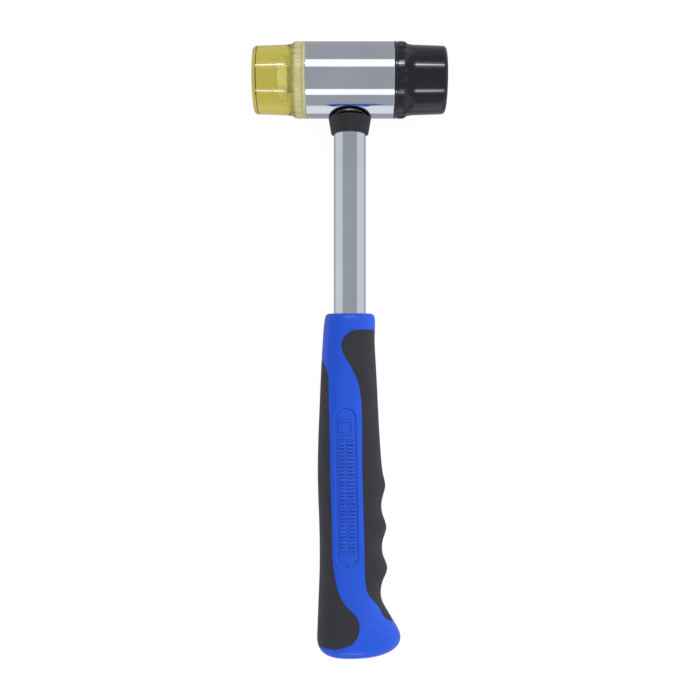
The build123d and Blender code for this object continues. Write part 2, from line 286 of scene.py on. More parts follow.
def on_handle(along, radius, turn):
    """Points at this y along the handle's axis."""
    x = radius * np.cos(turn)
    z = AXIS_Z + radius * np.sin(turn)
    return np.stack((x, along + 0 * turn, z), -1).reshape(-1, 3)


def round_turns(count):
    """Angles right round, as a row that broadcasts against a column of profile points."""
    return np.arange(count)[None, :] * 2 * math.pi / count


def step_up(value):
    """Smooth step from 0 at 0 to 1 at 1."""
    value = np.clip(value, 0, 1)
    return value * value * (3 - 2 * value)


def spline_through(knots, values):
    """Natural cubic spline through values (rows) at the knots, as a function of the parameter."""
    knots = np.asarray(knots, float)
    values = np.asarray(values, float)
    gaps = np.diff(knots)
    slopes = np.diff(values, axis=0) / gaps[:, None]
    count = len(knots)
    system = np.eye(count)
    right = np.zeros_like(values)
    for n in range(1, count - 1):
        system[n, n - 1 : n + 2] = gaps[n - 1], 2 * (gaps[n - 1] + gaps[n]), gaps[n]
        right[n] = 6 * (slopes[n] - slopes[n - 1])
    bends = np.linalg.solve(system, right)

    def at(parameter):
        parameter = np.atleast_1d(parameter)
        n = np.clip(np.searchsorted(knots, parameter) - 1, 0, count - 2)
        gap = gaps[n][:, None]
        before = (knots[n + 1] - parameter)[:, None]
        after = (parameter - knots[n])[:, None]
        return (
            bends[n] * before**3 / (6 * gap)
            + bends[n + 1] * after**3 / (6 * gap)
            + (values[n] / gap - bends[n] * gap / 6) * before
            + (values[n + 1] / gap - bends[n + 1] * gap / 6) * after
        )

    return at


def chord_lengths(values):
    """Parameter that grows by the distance from one point to the next."""
    steps = np.linalg.norm(np.diff(np.asarray(values, float), axis=0), axis=1)
    return np.concatenate(((0,), np.cumsum(steps)))


# ---- materials -----------------------------------------------------------------------------
def add_node(tree, kind, inputs=None, **settings):
    """New shader node with its settings, and its inputs linked or set."""
    made = tree.nodes.new(kind)
    for key, value in settings.items():
        setattr(made, key, value)
    for key, value in (inputs or {}).items():
        if isinstance(value, bpy.types.NodeSocket):
            tree.links.new(value, made.inputs[key])
        else:
            made.inputs[key].default_value = value
    return made


def shade(colour, factor):
    """Colour made lighter or darker, as four numbers."""
    return tuple(min(1.0, channel * factor) for channel in colour) + (1.0,)


def surface(name, colour, roughness, mottle=0.06, mottle_scale=90.0, grain_scale=1600.0,
            grain_depth=0.00002, stretch=(1.0, 1.0, 1.0), wear_and_highlight=None, hollow_shade=None, **sockets):
    """Principled material with blotches in its colour, uneven roughness, a grained bump, lighter edges
    that are partly wear and partly painted highlight, and darker hollows that are painted shade.

    roughness is (lowest, highest), stretch scales the grain, the edge tint is (colour, amount) on
    edges, the hollow tint the same in hollows, and the sockets are set as they are on the shader.
    """
    made = bpy.data.materials.new(name)
    made.use_nodes = True
    tree = made.node_tree
    shader = tree.nodes["Principled BSDF"]
    place = add_node(tree, "ShaderNodeTexCoord").outputs["Object"]
    blotch = add_node(
        tree, "ShaderNodeTexNoise", {"Vector": place, "Scale": mottle_scale, "Detail": 4.0}
    ).outputs["Fac"]
    tone = add_node(tree, "ShaderNodeValToRGB", {"Fac": blotch})
    tone.color_ramp.elements[0].position = 0.3
    tone.color_ramp.elements[0].color = shade(colour, 1 - mottle)
    tone.color_ramp.elements[1].position = 0.7
    tone.color_ramp.elements[1].color = shade(colour, 1 + mottle)
    paint = tone.outputs["Color"]
    bend = add_node(tree, "ShaderNodeNewGeometry").outputs["Pointiness"]
    # Edges get a lighter colour, partly wear and partly painted highlight, and hollows a darker one,
    # which is painted shade; both follow pointiness and are patchy by the blotches.
    for tint_spec, flat, bent in ((wear_and_highlight, 0.51, 0.58), (hollow_shade, 0.498, 0.46)):
        if tint_spec is None:
            continue
        where = add_node(
            tree, "ShaderNodeMapRange",
            {"Value": bend, "From Min": flat, "From Max": bent, "To Max": tint_spec[1]},
        )
        patchy = add_node(
            tree, "ShaderNodeMath", {0: where.outputs["Result"], 1: blotch}, operation="MULTIPLY"
        )
        covered = add_node(
            tree, "ShaderNodeMix", {"Factor": patchy.outputs[0]}, data_type="RGBA"
        )
        tree.links.new(paint, covered.inputs[6])
        covered.inputs[7].default_value = shade(tint_spec[0], 1)
        paint = covered.outputs[2]
    tree.links.new(paint, shader.inputs["Base Color"])
    stretched = add_node(tree, "ShaderNodeMapping", {"Vector": place, "Scale": stretch}).outputs[0]
    grain = add_node(
        tree, "ShaderNodeTexNoise",
        {"Vector": stretched, "Scale": grain_scale, "Detail": 6.0, "Roughness": 0.65},
    ).outputs["Fac"]
    smudge = add_node(
        tree, "ShaderNodeTexNoise", {"Vector": place, "Scale": mottle_scale * 1.7, "Detail": 7.0}
    ).outputs["Fac"]
    uneven = add_node(
        tree, "ShaderNodeMapRange",
        {"Value": smudge, "From Min": 0.3, "From Max": 0.7,
         "To Min": roughness[0], "To Max": roughness[1]},
    )
    tree.links.new(uneven.outputs["Result"], shader.inputs["Roughness"])
    bump = add_node(
        tree, "ShaderNodeBump", {"Height": grain, "Strength": 1.0, "Distance": grain_depth}
    )
    tree.links.new(bump.outputs["Normal"], shader.inputs["Normal"])
    for key, value in sockets.items():
        shader.inputs[key.replace("_", " ")].default_value = value
    return made


def node_of(made, kind):
    """First node of this kind in a material."""
    return next(n for n in made.node_tree.nodes if n.bl_idname == kind)


def chrome_material():
    """Bright chrome plate with faint haze and hairlines."""
    return surface(
        "chrome", (0.63, 0.69, 0.78), (0.03, 0.08), mottle=0.03, mottle_scale=60.0,
        grain_scale=900.0, grain_depth=0.0000012, stretch=(0.15, 1.0, 1.0), Metallic=1.0,
    )


def yellow_material():
    """Clear yellow plastic, tinted through its depth, with a frosted ribbed collar, painted highlight on
    its edges and painted shade in its hollows.
    """
    # The pale edge colour is painted highlight on the ribs and rims, and the darker hollow colour is
    # painted shade round the ribs.
    made = surface(
        "yellow_clear", (0.93, 0.90, 0.52), (0.03, 0.07), mottle=0.03, mottle_scale=50.0,
        grain_scale=120.0, grain_depth=0.000003, wear_and_highlight=((0.97, 0.96, 0.80), 1.2),
        hollow_shade=((0.62, 0.56, 0.12), 1.2), IOR=1.49,
    )
    tree = made.node_tree
    shader = node_of(made, "ShaderNodeBsdfPrincipled")
    uneven = shader.inputs["Roughness"].links[0].from_socket
    place = node_of(made, "ShaderNodeTexCoord").outputs["Object"]
    along = add_node(tree, "ShaderNodeSeparateXYZ", {"Vector": place}).outputs["X"]
    out = add_node(tree, "ShaderNodeMath", {0: along}, operation="ABSOLUTE").outputs[0]
    collar = add_node(
        tree, "ShaderNodeMapRange",
        {"Value": out, "From Min": (FLANGE_END + 1.6) * MM, "From Max": (FLANGE_END - 0.2) * MM,
         "To Max": 1.0},
    ).outputs["Result"]
    frosted = add_node(tree, "ShaderNodeMath", {0: collar, 1: 0.3}, operation="MULTIPLY")
    rough = add_node(tree, "ShaderNodeMath", {0: uneven, 1: frosted.outputs[0]}, operation="ADD")
    tree.links.new(rough.outputs[0], shader.inputs["Roughness"])
    clear = add_node(
        tree, "ShaderNodeMapRange", {"Value": collar, "To Min": 0.96, "To Max": 0.62}
    )
    tree.links.new(clear.outputs["Result"], shader.inputs["Transmission Weight"])
    depth = add_node(
        tree, "ShaderNodeVolumeAbsorption", {"Color": (0.784, 0.743, 0.24, 1.0), "Density": 97.0}
    )
    output = node_of(made, "ShaderNodeOutputMaterial")
    tree.links.new(depth.outputs["Volume"], output.inputs["Volume"])
    return made


def make_materials():
    """Every finish of the mallet, by the record's slot name."""
    return {
        "chromed_steel": chrome_material(),
        # The white edge colour of the zinc is painted highlight.
        "zinc_steel": surface(
            "zinc", (0.93, 0.94, 0.97), (0.25, 0.35), mottle=0.02, mottle_scale=150.0,
            grain_scale=900.0, grain_depth=0.000001, wear_and_highlight=((1.0, 1.0, 1.0), 1.0), Metallic=0.2,
        ),
        # The weld is made dark so that the gap under the boot reads dark with only a small glint: painted
        # shade in that gap.
        "weld": surface(
            "weld_bead", (0.14, 0.14, 0.15), (0.2, 0.35), mottle=0.2, mottle_scale=600.0,
            grain_scale=1200.0, grain_depth=0.00001, Metallic=1.0,
        ),
        "steel_shot": surface(
            "shot", (0.42, 0.43, 0.45), (0.25, 0.5), mottle=0.2, mottle_scale=500.0,
            grain_scale=3000.0, grain_depth=0.00001, Metallic=1.0,
        ),
        "yellow_plastic": yellow_material(),
        "black_rubber": surface(
            "black_face", (0.006, 0.006, 0.012), (0.09, 0.14), mottle=0.15, mottle_scale=120.0,
            grain_scale=2200.0, grain_depth=0.000003, wear_and_highlight=((0.06, 0.06, 0.07), 0.6), IOR=1.48,
        ),
        "boot_rubber": surface(
            "boot", (0.009, 0.009, 0.013), (0.45, 0.6), mottle=0.15, mottle_scale=150.0,
            grain_scale=2500.0, grain_depth=0.000015, wear_and_highlight=((0.06, 0.06, 0.07), 0.5),
        ),
        "plug_plastic": surface(
            "end_cap", (0.05, 0.05, 0.055), (0.4, 0.55), mottle=0.1, mottle_scale=200.0,
            grain_scale=2500.0, grain_depth=0.00001,
        ),
        # The darker hollow colour of the blue, round the label panel and its bars, is painted shade.
        "blue_plastic": surface(
            "blue", (0.006, 0.073, 0.565), (0.28, 0.38), mottle=0.06, mottle_scale=45.0,
            grain_scale=2600.0, grain_depth=0.00001, wear_and_highlight=((0.07, 0.2, 0.75), 0.6),
            hollow_shade=((0.001, 0.012, 0.15), 2.0), IOR=1.4,
        ),
        "grey_rubber": surface(
            "grey_pad", (0.017, 0.017, 0.026), (0.5, 0.64), mottle=0.12, mottle_scale=80.0,
            grain_scale=3000.0, grain_depth=0.00003, wear_and_highlight=((0.09, 0.09, 0.1), 0.5), IOR=1.45,
        ),
    }


def dress(piece, materials, slot, body, *stands_for):
    """Gives a piece its finish and its body, and hides the CAD nodes that it stands for."""
    piece.data.materials.clear()
    piece.data.materials.append(materials[slot])
    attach(piece, body)
    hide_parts(*stands_for)
    return piece


# ---- head ----------------------------------------------------------------------------------
def turned(place, profile, segments, closed):
    """Points and faces of a profile of (along, radius) turned round an axis."""
    points = place(profile[:, :1], profile[:, 1:], round_turns(segments))
    return points, grid_faces(len(profile), segments, closed)


def make_sleeve():
    """Chromed tube of the head with rounded rims."""
    profile = rounded((
        (-SLEEVE_END, SLEEVE_RADIUS - SLEEVE_WALL, 0.2),
        (-SLEEVE_END, SLEEVE_RADIUS, SLEEVE_EDGE),
        (SLEEVE_END, SLEEVE_RADIUS, SLEEVE_EDGE),
        (SLEEVE_END, SLEEVE_RADIUS - SLEEVE_WALL, 0.2),
    ))
    points, faces = turned(lambda a, r, t: on_head(1, a, r, t), held(profile), 288, True)
    return to_mesh("sleeve", points, faces)


def neck_points():
    """Curve from the flange down to the body of a face."""
    start_slope, end_slope = -0.45, -0.03
    length = BODY_START - FLANGE_END
    share = np.linspace(0, 1, 45)[1:-1]
    rise = FLANGE_RADIUS * (2 * share**3 - 3 * share**2 + 1)
    rise += length * start_slope * (share**3 - 2 * share**2 + share)
    rise += FACE_BODY_RADIUS * (3 * share**2 - 2 * share**3)
    rise += length * end_slope * (share**3 - share**2)
    return np.stack((FLANGE_END + share * length, rise), 1)


def make_face(side, name):
    """Screw-in face: lip, ribbed flange, curved neck and a body with a rounded striking edge."""
    lip = rounded((
        (SLEEVE_END, 0, 0),
        (SLEEVE_END, LIP_RADIUS, LIP_EDGE),
        (LIP_END, LIP_RADIUS, LIP_EDGE),
        (LIP_END, FLANGE_RADIUS, 0),
        (FLANGE_END, FLANGE_RADIUS, 0),
    ))[:-1]
    flange_along = np.arange(LIP_END + 0.05, FLANGE_END + 0.01, 0.1)
    flange = np.stack((flange_along, FLANGE_RADIUS + 0 * flange_along), 1)
    body = rounded((
        (BODY_START, FACE_BODY_RADIUS, 0),
        (FACE_END, FACE_END_RADIUS, FACE_EDGE),
        (FACE_END, 0, 0),
    ))
    profile = held(np.concatenate((lip, flange, neck_points(), body)))
    profile[-1, 1] = 0
    along, radius = profile[:, :1], profile[:, 1:]
    turn = round_turns(264)
    wave = np.abs((turn * RIB_COUNT / (2 * math.pi)) % 1 - 0.5) * 2
    across = step_up((wave - (1 - RIB_SHARE)) / 0.2 + 0.5)
    edge = 0.25
    lengthwise = step_up((along - RIB_START) / edge) * step_up((RIB_END - along) / edge)
    points = on_head(side, along + 0 * turn, radius + RIB_HEIGHT * across * lengthwise, turn)
    return to_mesh(name, points, grid_faces(len(profile), turn.size))


def make_bolt(side, name):
    """Hexagon bolt with a rolled thread, a chamfered point and a crowned head."""
    turn = round_turns(144)
    along = np.arange(BOLT_TIP, BOLT_SEAT - 0.3, THREAD_PITCH / 12)[:, None] + 0 * turn
    phase = (along / THREAD_PITCH - turn / (2 * math.pi)) % 1
    crest = step_up((np.abs(phase - 0.5) - 0.08) / 0.34)
    radius = BOLT_RADIUS - THREAD_DEPTH * crest
    point = BOLT_RADIUS - THREAD_DEPTH + (along - BOLT_TIP)
    runout = step_up((along - (BOLT_SEAT - 1.5)) / 1.0)
    radius = np.minimum(radius * (1 - runout) + BOLT_RADIUS * runout, point)
    flat = (turn + math.pi / 6) % (math.pi / 3) - math.pi / 6
    to_flat = BOLT_FLATS / 2
    corner = math.pi / 6
    hexagon = to_flat / np.cos(np.abs((turn % (math.pi / 3)) - corner))
    hexagon = np.minimum(hexagon, to_flat * 1.14)
    crown = BOLT_CROWN - (hexagon - to_flat * 0.95) * 0.58
    rim = to_flat * 0.95 + 0 * flat
    rows = [
        (BOLT_TIP + 0 * turn, 0 * turn),
        *zip(along, radius),
        (BOLT_SEAT + 0 * turn, BOLT_RADIUS + 0.25 + 0 * turn),
        (BOLT_SEAT + 0 * turn, hexagon - 0.15),
        (BOLT_SEAT + 0.15 + 0 * turn, hexagon),
        (crown - 0.1, hexagon),
        (crown + 0.05, hexagon - 0.12),
        (BOLT_CROWN - 0.04 + 0 * turn, rim),
        (BOLT_CROWN + 0 * turn, rim - 0.2),
        (BOLT_CROWN + 0 * turn, 0 * turn),
    ]
    points = [on_head(side, a.reshape(1, -1), r.reshape(1, -1), turn) for a, r in rows]
    return to_mesh(name, np.concatenate(points), grid_faces(len(rows), turn.size), 30.0)


# ---- shaft ---------------------------------------------------------------------------------
def saddle_y(radius, turn):
    """Where a round tube of this radius meets the sleeve."""
    return HEAD_Y - np.sqrt(SLEEVE_RADIUS**2 - (radius * np.sin(turn)) ** 2)


def make_tube():
    """Chromed handle tube, coped to the sleeve, with the two cross holes that key the grip."""
    turn = round_turns(192)
    outside = (96.0, 60.0, 30.0, 15.0, -10.0, -30.0, -80.0, -100.0, TUBE_END_Y)
    inside = outside[::-1]
    rows = [(saddle_y(TUBE_RADIUS, turn), TUBE_RADIUS)]
    rows += [(y + 0 * turn, TUBE_RADIUS) for y in outside]
    rows += [(y + 0 * turn, TUBE_BORE) for y in inside]
    rows += [(saddle_y(TUBE_BORE, turn), TUBE_BORE)]
    points = np.concatenate([on_handle(y, radius + 0 * turn, turn) for y, radius in rows])
    tube = to_mesh("tube", points, grid_faces(len(rows), turn.size, True))
    for y in KEY_YS:
        drill(tube, y)
    return tube


def key_rod(y, reach):
    """Points and faces of a round rod along Z through the handle at this y."""
    turn = round_turns(48)
    ends = ((-reach, 0), (-reach, KEY_RADIUS), (reach, KEY_RADIUS), (reach, 0))
    rings = []
    for height, radius in ends:
        x = radius * np.cos(turn)
        ring = np.stack((x, y + radius * np.sin(turn), AXIS_Z + height + 0 * turn), -1)
        rings.append(ring.reshape(-1, 3))
    return np.concatenate(rings), grid_faces(len(ends), turn.size)


def drill(piece, y):
    """Cuts a cross hole through the tube."""
    rod = to_mesh("drill", *key_rod(y, 2 * TUBE_RADIUS))
    cut = piece.modifiers.new("cut", "BOOLEAN")
    cut.operation = "DIFFERENCE"
    cut.solver = "EXACT"
    cut.object = rod
    bpy.context.view_layer.update()
    graph = bpy.context.evaluated_depsgraph_get()
    drilled = bpy.data.meshes.new_from_object(piece.evaluated_get(graph))
    piece.modifiers.clear()
    piece.data = drilled
    bpy.data.objects.remove(rod)


def make_boot():
    """Tapered rubber ring under the head, relieved inside its top for the weld."""
    profile = rounded((
        (boot_high[1], TUBE_RADIUS + BOOT_RELIEF, 0.15),
        (boot_high[1], BOOT_TOP_RADIUS, BOOT_EDGE),
        (boot_low[1], BOOT_BOTTOM_RADIUS, BOOT_EDGE),
        (boot_low[1], TUBE_RADIUS, 0.15),
        (boot_high[1] - BOOT_RELIEF, TUBE_RADIUS, 0),
    ))
    return to_mesh("boot", *turned(on_handle, held(profile), 160, True))


# ---- grip ----------------------------------------------------------------------------------
def edge_line(points):
    """Smooth line through a pad's edge points, finely divided, as rows of (x, y)."""
    lengths = chord_lengths(points)
    return spline_through(lengths, points)(np.linspace(0, lengths[-1], 900))


def x_on_line(line, y):
    """Where a pad's edge line is at this y."""
    return np.interp(y, line[::-1, 1], line[::-1, 0])


def distance_to_line(points, line):
    """Distance from each (x, y) point to a line given by close points."""
    best = np.full(len(points), np.inf)
    for start in range(0, len(line), 60):
        part = line[start : start + 60]
        gaps = np.linalg.norm(points[:, None, :] - part[None, :, :], axis=2)
        best = np.minimum(best, gaps.min(axis=1))
    return best


def spread(width, count, edge_at_start, edge_at_end):
    """Places from 0 to width, close together next to a pad's edge and even elsewhere."""
    steps = np.array(PAD_EDGE_STEPS) * min(1.0, width / 3)
    start = np.concatenate(((0,), steps)) if edge_at_start else np.array((0.0,))
    end = width - np.concatenate((steps[::-1], (0,))) if edge_at_end else np.array((width,))
    middle = np.linspace(start[-1], end[0], count + 1)[1:-1]
    return np.concatenate((start, middle, end))


def grip_rows(profile, specials):
    """Rows along the grip: places on its profile curve, closer at the pads' ends and the label."""
    fine = np.linspace(0, profile.length, 12000)
    ys = profile.at(fine)[:, 0]

    def place_of(y):
        return np.interp(-y, -ys, fine)

    fixed = [0.0, profile.length] + [place_of(y) for y in specials]
    wanted = list(np.arange(0, profile.length, GRIP_ROW_STEP))
    for y in specials:
        wanted += [place_of(y + side * step) for step in PAD_EDGE_STEPS for side in (-1, 1)]
    label = np.arange(LABEL_TOP[1] + LABEL_HALF_WIDTH + 1, LABEL_BOTTOM[1] - LABEL_HALF_WIDTH - 1,
                      -LABEL_ROW_STEP)
    wanted += [place_of(y) for y in label]
    wanted += [place_of(y) for y in np.arange(specials[-1] + 4, specials[-1] - 0.5, -0.11)]
    wanted += [place_of(y) for y in np.arange(specials[0] - 6, specials[0], 0.22)]
    rows = sorted(fixed)
    for place in sorted(wanted):
        if np.min(np.abs(np.array(rows) - place)) > 0.05:
            rows.append(place)
    return np.array(sorted(rows))


class GripProfile:
    """Smooth curves through the grip's stations: y, reach to -X, reach to +X and half thickness."""

    def __init__(self):
        lengths = chord_lengths(GRIP_STATIONS)
        self.length = lengths[-1]
        self.at = spline_through(lengths, GRIP_STATIONS)


def squared(value):
    """Cosine or sine raised to the grip's squareness, with its sign kept."""
    return np.copysign(np.abs(value) ** GRIP_SQUARENESS, value)


def half_ring(station, front_line, rear_line, limits):
    """Angles of one row's points from +X over the top to -X, so that the pads' edges fall on columns."""
    y, rear, front, half = station
    angle = np.linspace(0, math.pi, 500)
    x = squared(np.cos(angle)) * np.where(np.cos(angle) > 0, front, rear)
    z = squared(np.sin(angle)) * half
    along = chord_lengths(np.stack((x, z), 1))
    total = along[-1]

    def along_at(place_x):
        return np.interp(-place_x, -x, along)

    front_top, front_end, rear_top, rear_end = limits
    front_width = along_at(x_on_line(front_line, np.clip(y, front_end, front_top)))
    if y < front_end:
        front_width = max(front_width, total * 0.1)
    rear_y = y
    if y > rear_top:
        rear_y = 2 * rear_top - y
    rear_width = total - along_at(x_on_line(rear_line, max(rear_y, rear_end)))
    if y < rear_end:
        rear_width = min(6.0, 6 * (rear_end - y)) * min(1.0, total / 40)
    front_width = min(max(front_width, NARROWEST), total * 0.7)
    rear_width = min(max(rear_width, NARROWEST), total * 0.7)
    places = np.concatenate((
        spread(front_width, FRONT_COLUMNS, False, True),
        front_width
        + spread(total - front_width - rear_width, BAND_COLUMNS, True, True)[1:],
        total - rear_width + spread(rear_width, REAR_COLUMNS, True, False)[1:],
    ))
    return np.interp(places, along, angle)


def label_relief(x, y):
    """How deep the label panel lies at each point, with plain raised bars and a plain raised frame."""
    run = LABEL_BOTTOM - LABEL_TOP
    length = np.linalg.norm(run)
    run = run / length
    down = (x - LABEL_TOP[0]) * run[0] + (y - LABEL_TOP[1]) * run[1]
    across = (x - LABEL_TOP[0]) * -run[1] + (y - LABEL_TOP[1]) * run[0]
    past = down - np.clip(down, 0, length)
    inside = LABEL_HALF_WIDTH - np.hypot(across, past)
    depth = LABEL_DEPTH * step_up(inside / 0.35)
    edge = 0.2
    raised = np.zeros_like(x)
    turn = np.abs(((down - BARS_START) / BAR_PITCH) % 1 - 0.5) * 2
    bar = step_up((turn - (1 - BAR_SHARE)) / 0.3 + 0.5)
    bar *= step_up((down - BARS_START) / edge) * step_up((length - 1 - down) / edge)
    for low, high in BAR_COLUMNS:
        wide = step_up((across - low) / edge) * step_up((high - across) / edge)
        raised = np.maximum(raised, bar * wide)
    badge = np.minimum(BADGE_HALF_WIDTH - np.abs(across), np.minimum(down - BADGE_START,
                                                                     BADGE_END - down))
    frame_line = step_up(badge / edge) * step_up((BADGE_LINE - badge) / edge + 1)
    raised = np.maximum(raised, frame_line)
    return depth - BAR_HEIGHT * raised * step_up(inside / 0.35)


class Grip:
    """Grid over the whole grip, on which the pads' edges fall between cells."""

    def __init__(self):
        profile = GripProfile()
        front_line = edge_line(FRONT_PAD_EDGE)
        rear_line = edge_line(REAR_PAD_EDGE)
        fine = profile.at(np.linspace(0, profile.length, 12000))
        past = x_on_line(rear_line, fine[:, 0]) + fine[:, 1] > 0.02
        held = fine[past & (fine[:, 0] < REAR_PAD_EDGE[0][1]) & (fine[:, 0] > REAR_PAD_EDGE[-1][1])]
        rear_top, rear_end = held[0, 0], held[-1, 0]
        front_top, front_end = FRONT_PAD_EDGE[0][1], FRONT_PAD_EDGE[-1][1]
        limits = (front_top, front_end, rear_top, rear_end)
        self.stations = profile.at(grip_rows(profile, limits))
        half = [half_ring(s, front_line, rear_line, limits) for s in self.stations]
        half = np.array(half)
        self.angles = np.concatenate((half, 2 * math.pi - half[:, -2:0:-1]), axis=1)
        self.front_columns = FRONT_COLUMNS + len(PAD_EDGE_STEPS)
        self.rear_columns = REAR_COLUMNS + len(PAD_EDGE_STEPS)
        self.half_columns = half.shape[1] - 1
        rows = (self.stations[:-1, 0] + self.stations[1:, 0]) / 2
        columns = np.arange(2 * self.half_columns)
        mirrored = np.minimum(columns, 2 * self.half_columns - 1 - columns)
        in_front = mirrored < self.front_columns
        in_rear = mirrored >= self.half_columns - self.rear_columns
        self.front = ((rows < front_top) & (rows > front_end))[:, None] & in_front[None, :]
        self.rear = ((rows < rear_top) & (rows > rear_end))[:, None] & in_rear[None, :]
        flat = self.points(0)
        shape = self.angles.shape
        to_edge = np.minimum(
            distance_to_line(flat[:, :2], self.closed_line(front_line, 1)),
            distance_to_line(flat[:, :2], self.closed_line(rear_line, -1)),
        ).reshape(shape)
        short = PAD_EDGE_RADIUS - np.clip(to_edge, 0, PAD_EDGE_RADIUS)
        rounding = PAD_EDGE_RADIUS - np.sqrt(PAD_EDGE_RADIUS**2 - short**2)
        self.skin = rounding + label_relief(flat[:, 0], flat[:, 1]).reshape(shape)

    @staticmethod
    def closed_line(line, side):
        """A pad's edge line with its straight ends out past the grip's side."""
        reach = np.linspace(0, 1, 120)[:, None]
        if side > 0:
            ends = [np.array((30.0, point[1])) for point in (line[0], line[-1])]
        else:
            ends = [line[0], line[-1]]
        first = line[0] + (ends[0] - line[0]) * reach
        last = line[-1] + (ends[1] - line[-1]) * reach
        return np.concatenate((first, line, last))

    def points(self, inset):
        """Points of the grid, sunk by the inset."""
        y, rear, front, half = (column[:, None] for column in self.stations.T)
        cosine = np.cos(self.angles)
        x = squared(cosine) * (np.where(cosine > 0, front, rear) - inset)
        z = AXIS_Z + squared(np.sin(self.angles)) * (half - inset)
        return np.stack((x, y + 0 * x, z), -1).reshape(-1, 3)

    def cell_faces(self, mask, base):
        """Quads of the cells in the mask, on the layer of points that starts at base."""
        columns = self.angles.shape[1]
        row, column = np.nonzero(mask)
        after = (column + 1) % columns
        corners = (row * columns + column, row * columns + after,
                   (row + 1) * columns + after, (row + 1) * columns + column)
        return (np.stack(corners, 1) + base).tolist()

    def walls(self, mask, top, bottom):
        """Quads between two layers along the edge of the mask."""
        columns = self.angles.shape[1]
        sides = []
        row, column = np.nonzero(mask != np.roll(mask, 1, axis=1))
        sides.append((row * columns + column, (row + 1) * columns + column))
        padded = np.concatenate((np.zeros_like(mask[:1]), mask, np.zeros_like(mask[:1])))
        row, column = np.nonzero(padded[1:] != padded[:-1])
        sides.append((row * columns + column, row * columns + (column + 1) % columns))
        faces = []
        for a, b in sides:
            faces += np.stack((a + top, b + top, b + bottom, a + bottom), 1).tolist()
        return faces

    def make_pad(self, mask, name):
        """Soft pad: its skin, its underside on the bed, and its walls."""
        skin = self.points(self.skin)
        under = self.points(PAD_THICKNESS)
        count = len(skin)
        faces = self.cell_faces(mask, 0) + self.cell_faces(mask, count)
        faces += self.walls(mask, 0, count)
        used = np.zeros(2 * count, bool)
        used[np.array(faces).ravel()] = True
        renumber = np.cumsum(used) - 1
        points = np.concatenate((skin, under))[used]
        return to_mesh(name, points, renumber[np.array(faces)].tolist())

    def make_core(self, name):
        """Hard core: the band and butt between the pads, the beds under them, and the tube's pocket."""
        pads = self.front | self.rear
        skin = self.points(self.skin)
        bed = self.points(PAD_THICKNESS)
        count = len(skin)
        columns = self.angles.shape[1]
        faces = self.cell_faces(~pads, 0) + self.cell_faces(pads, count)
        faces += self.walls(pads, 0, count)
        points = [skin, bed]
        top_y, end_y = self.stations[0, 0], self.stations[-1, 0]
        turn = np.arctan2(skin[:columns, 2] - AXIS_Z, skin[:columns, 0])[None, :]
        pocket = [(top_y, TUBE_RADIUS), (POCKET_END_Y, TUBE_RADIUS), (POCKET_END_Y, 0.0)]
        points += [on_handle(y, radius + 0 * turn, turn) for y, radius in pocket]
        first = 2 * count
        pocket_faces = grid_faces(len(pocket), columns)
        faces += [tuple(corner + first for corner in face) for face in pocket_faces]
        butt = first + len(pocket) * columns
        last_ring = skin[-columns:]
        for share in (0.6, 0.25, 0.0):
            ring = last_ring * (share, 1, share) + (0, 0, AXIS_Z * (1 - share))
            ring[:, 1] = end_y
            points.append(ring)
        butt_faces = grid_faces(3, columns)
        faces += [tuple(corner + butt for corner in face) for face in butt_faces]
        for a in range(columns):
            b = (a + 1) % columns
            faces.append((a, b, first + b, first + a))
            faces.append((count - columns + a, count - columns + b, butt + b, butt + a))
        for y in KEY_YS:
            rod, rod_faces = key_rod(y, TUBE_RADIUS + 0.5)
            start = sum(len(part) for part in points)
            points.append(rod)
            faces += [tuple(corner + start for corner in face) for face in rod_faces]
        points = np.concatenate(points)
        faces = [tuple(face) for face in faces]
        used = np.zeros(len(points), bool)
        used[np.array(faces).ravel()] = True
        renumber = np.cumsum(used) - 1
        return to_mesh(name, points[used], renumber[np.array(faces)].tolist())


# ---- studio --------------------------------------------------------------------------------
CAMERA_HEIGHT = 450.0
CAMERA_LENS = 49.37
SENSOR = 36.0
FLOOR_COLOUR = (0.07, 0.07, 0.07, 1.0)
FLOOR_GLOW = 0.95
# The world isn't the same for every ray. Matt surfaces get a plain soft light that is stronger from
# +X by SIDE_LIGHT, and slightly blue. Rays that have passed through clear plastic mostly get
# THROUGH_LIGHT. Mirrored rays get the soft boxes, and the camera sees white.
SIDE_LIGHT = 0.7
SOFT_BLUE = 1.04
THROUGH_SHARE = 0.75
THROUGH_LIGHT = (2.0, 2.0, 2.1, 1.0)

# The studio is grey with soft boxes. Each has its middle and half width, in degrees from straight
# up, its brightness, and the brightness of the lamp behind its middle. Those across the head are
# measured towards +Y, and those across the handle towards +X.
ROOM_GREY = 0.45
BOX_EDGE = 4.0
LAMP_HALF = 2.0
LAMP_EDGE = 1.0
# Where a direction's share along X passes from the boxes across the head to those across the handle.
HEAD_SHARE = 0.12
HANDLE_SHARE = 0.24
BOXES_ACROSS_HEAD = ((37, 9, 1.8, 20.0), (-50, 6, 1.8, 14.0), (-115, 16, 1.0, 1.0))
BOXES_ACROSS_HANDLE = ((90, 35, 0.8, 0.8), (-90, 35, 0.8, 0.8))


def box_stops(boxes):
    """Brightness by angle in degrees: the room's grey, and the soft boxes in it."""
    stops = [(-180, ROOM_GREY), (0, ROOM_GREY), (180, ROOM_GREY)]
    for middle, half, brightness, lamp in boxes:
        for side in (-1, 1):
            stops += [
                (middle + side * (half + BOX_EDGE), ROOM_GREY),
                (middle + side * half, brightness),
                (middle + side * (LAMP_HALF + LAMP_EDGE), brightness),
                (middle + side * LAMP_HALF, lamp),
            ]
    return sorted(stops)


